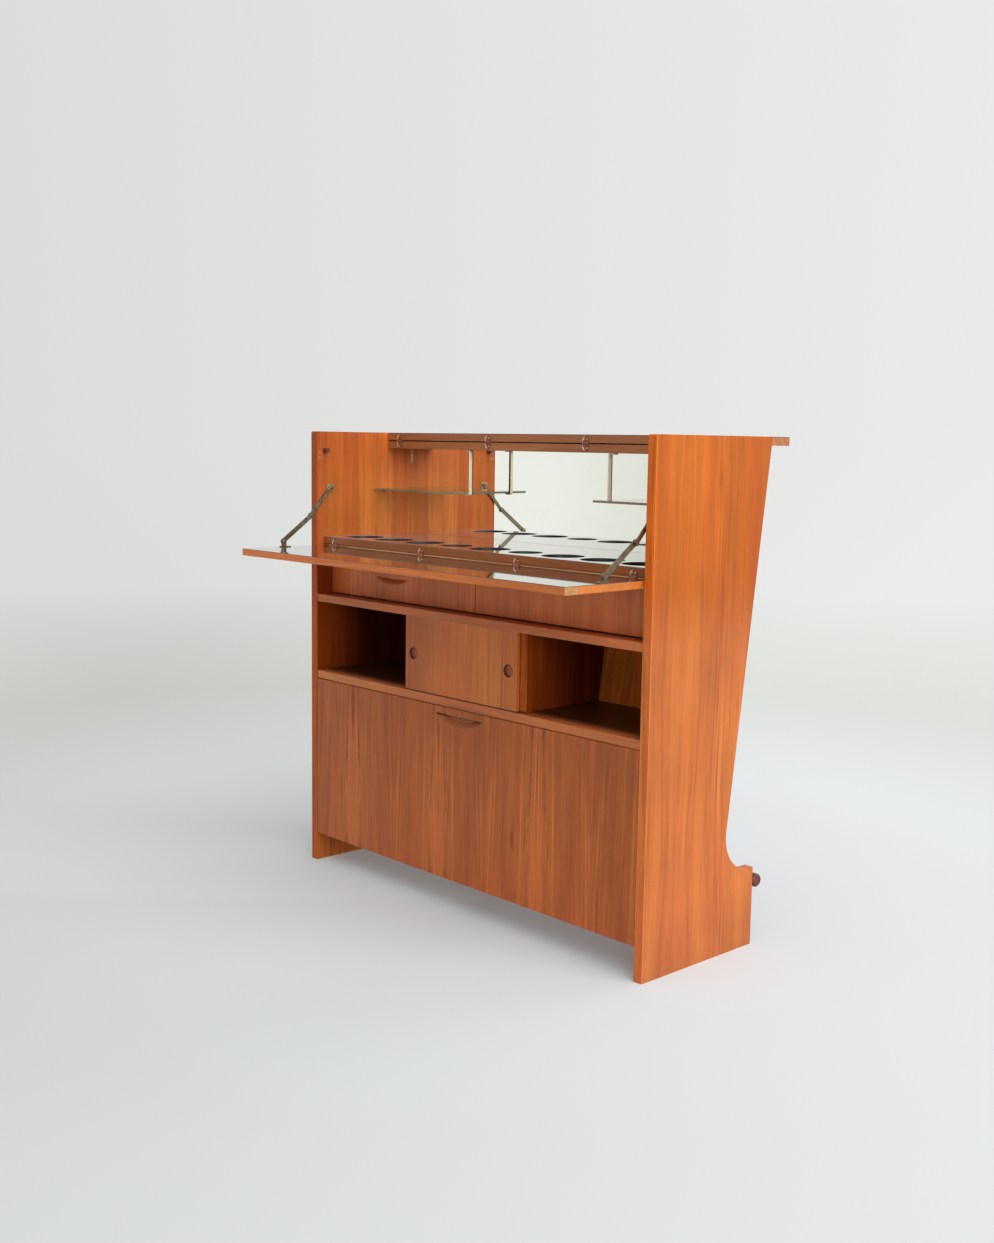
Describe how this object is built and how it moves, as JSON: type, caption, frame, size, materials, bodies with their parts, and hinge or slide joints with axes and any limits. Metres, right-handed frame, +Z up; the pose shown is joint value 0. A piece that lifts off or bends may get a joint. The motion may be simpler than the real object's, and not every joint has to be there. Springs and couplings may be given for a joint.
{
  "type": "bar cabinet",
  "caption": "Teak bar cabinet with leaning back, folding counter leaf, drop flap on folding stays, mirrored bottle compartment, drawers, sliding doors and fall-front door.",
  "frame": {"origin": "on the floor, in the middle of the bounding box of the cabinet as stored", "axes": "+X along the front to the right as seen from the bartender's side, +Y from the bartender's side to the guest side, +Z up"},
  "size_m": [1.1, 0.6554, 1.06],
  "materials": {
    "teak": "oiled veneer",
    "dark_dowel": "dark stained dowel",
    "drawer_wood": "plain waxed",
    "dark_laminate": "high gloss",
    "mirror_glass": "silvered",
    "clear_glass": "polished",
    "brass": "aged",
    "plated_steel": "plated",
    "catch_case": "plain",
    "rubber": "plain"
  },
  "bodies": {
    "carcass": {"side_panel_left": "teak", "side_panel_right": "teak", "fixed_top": "teak", "compartment_floor": "teak", "floor_laminate": "dark_laminate", "bottle_well_base": "drawer_wood", "upper_shelf": "teak", "lower_shelf": "teak", "bottom_board": "teak", "niche_divider_left": "teak", "niche_divider_right": "teak", "drawer_partition": "teak", "drawer_runners": "drawer_wood", "back_panel": "teak", "mirror": "mirror_glass", "mirror_batten": "drawer_wood", "glass_shelf_left": "clear_glass", "glass_shelf_right": "clear_glass", "glass_shelf_pegs": "brass", "shelf_strap_left": "brass", "shelf_strap_right": "brass", "foot_rail": "dark_dowel", "foot_rail_screws": "plated_steel", "leaf_rest_pegs": "brass", "flap_strike_plates": "brass", "stay_wall_brackets": "brass", "leaf_hinge_fixed_plates": "brass", "flap_hinge_fixed_plates": "brass", "door_hinge_fixed_plates": "brass", "door_catches": "catch_case", "door_stay_wall_pins": "plated_steel", "leaf_buffers": "rubber"},
    "counter_leaf": {"counter_leaf": "teak", "leaf_laminate": "dark_laminate", "leaf_hinge_moving_plates": "brass"},
    "drop_flap": {"drop_flap": "teak", "flap_laminate": "dark_laminate", "flap_hinge_moving_plates": "brass", "flap_latch_plates": "brass", "stay_flap_brackets": "brass"},
    "stay_upper_left": {"stay_upper_link_left": "brass"},
    "stay_upper_right": {"stay_upper_link_right": "brass"},
    "stay_lower_left": {"stay_lower_link_left": "brass"},
    "stay_lower_right": {"stay_lower_link_right": "brass"},
    "sliding_front": {"sliding_door_front": "teak"},
    "sliding_rear": {"sliding_door_rear": "teak"},
    "drawer_left": {"drawer_left_front": "teak", "drawer_left_sides": "drawer_wood", "drawer_left_back": "drawer_wood", "drawer_left_bottom": "drawer_wood"},
    "drawer_right": {"drawer_right_front": "teak", "drawer_right_sides": "drawer_wood", "drawer_right_back": "drawer_wood", "drawer_right_bottom": "drawer_wood"},
    "lower_door": {"lower_door": "teak", "door_hinge_moving_plates": "brass", "door_catch_plates": "plated_steel", "door_stay_brackets": "plated_steel"},
    "door_arm_left": {"door_stay_arm_left": "plated_steel"},
    "door_arm_right": {"door_stay_arm_right": "plated_steel"}
  },
  "joints": [
    {"name": "leaf_fold", "type": "hinge", "parent": "carcass", "child": "counter_leaf", "pos_m": [0, 0.10235, 1.0405], "axis": [1, 0, 0], "range_deg": [0, 180]},
    {"name": "flap_close", "type": "hinge", "parent": "carcass", "child": "drop_flap", "pos_m": [0, -0.09655, 0.7884], "axis": [-1, 0, 0], "range_deg": [0, 90]},
    {"name": "stay_upper_left", "type": "hinge", "parent": "carcass", "child": "stay_upper_left", "pos_m": [-0.5207, -0.07635, 0.925], "axis": [1, 0, 0], "range_deg": [0, 133.21]},
    {"name": "stay_lower_left", "type": "hinge", "parent": "drop_flap", "child": "stay_lower_left", "pos_m": [-0.5174, -0.21835, 0.8001], "axis": [1, 0, 0], "range_deg": [0, 63.26]},
    {"name": "stay_upper_right", "type": "hinge", "parent": "carcass", "child": "stay_upper_right", "pos_m": [0.5207, -0.07635, 0.925], "axis": [1, 0, 0], "range_deg": [0, 133.21]},
    {"name": "stay_lower_right", "type": "hinge", "parent": "drop_flap", "child": "stay_lower_right", "pos_m": [0.5174, -0.21835, 0.8001], "axis": [1, 0, 0], "range_deg": [0, 63.26]},
    {"name": "sliding_front", "type": "slide", "parent": "carcass", "child": "sliding_front", "axis": [1, 0, 0], "range_m": [-0.336, 0.348]},
    {"name": "sliding_rear", "type": "slide", "parent": "carcass", "child": "sliding_rear", "axis": [1, 0, 0], "range_m": [-0.348, 0.336]},
    {"name": "drawer_left", "type": "slide", "parent": "carcass", "child": "drawer_left", "axis": [0, -1, 0], "range_m": [0, 0.15]},
    {"name": "drawer_right", "type": "slide", "parent": "carcass", "child": "drawer_right", "axis": [0, -1, 0], "range_m": [0, 0.15]},
    {"name": "lower_door_drop", "type": "hinge", "parent": "carcass", "child": "lower_door", "pos_m": [0, -0.09655, 0.067], "axis": [1, 0, 0], "range_deg": [0, 90]},
    {"name": "door_arm_left", "type": "hinge", "parent": "lower_door", "child": "door_arm_left", "pos_m": [-0.5188, -0.08985, 0.1771], "axis": [-1, 0, 0], "range_deg": [0, 94.78]},
    {"name": "door_arm_right", "type": "hinge", "parent": "lower_door", "child": "door_arm_right", "pos_m": [0.5188, -0.08985, 0.1771], "axis": [-1, 0, 0], "range_deg": [0, 94.78]}
  ],
  "couplings": [
    {"joint": "stay_upper_left", "follows": "flap_close", "ratio": 1.48},
    {"joint": "stay_lower_left", "follows": "flap_close", "ratio": 0.70283},
    {"joint": "stay_upper_right", "follows": "flap_close", "ratio": 1.48},
    {"joint": "stay_lower_right", "follows": "flap_close", "ratio": 0.70283},
    {"joint": "door_arm_left", "follows": "lower_door_drop", "ratio": 1.0529},
    {"joint": "door_arm_right", "follows": "lower_door_drop", "ratio": 1.0529}
  ]
}
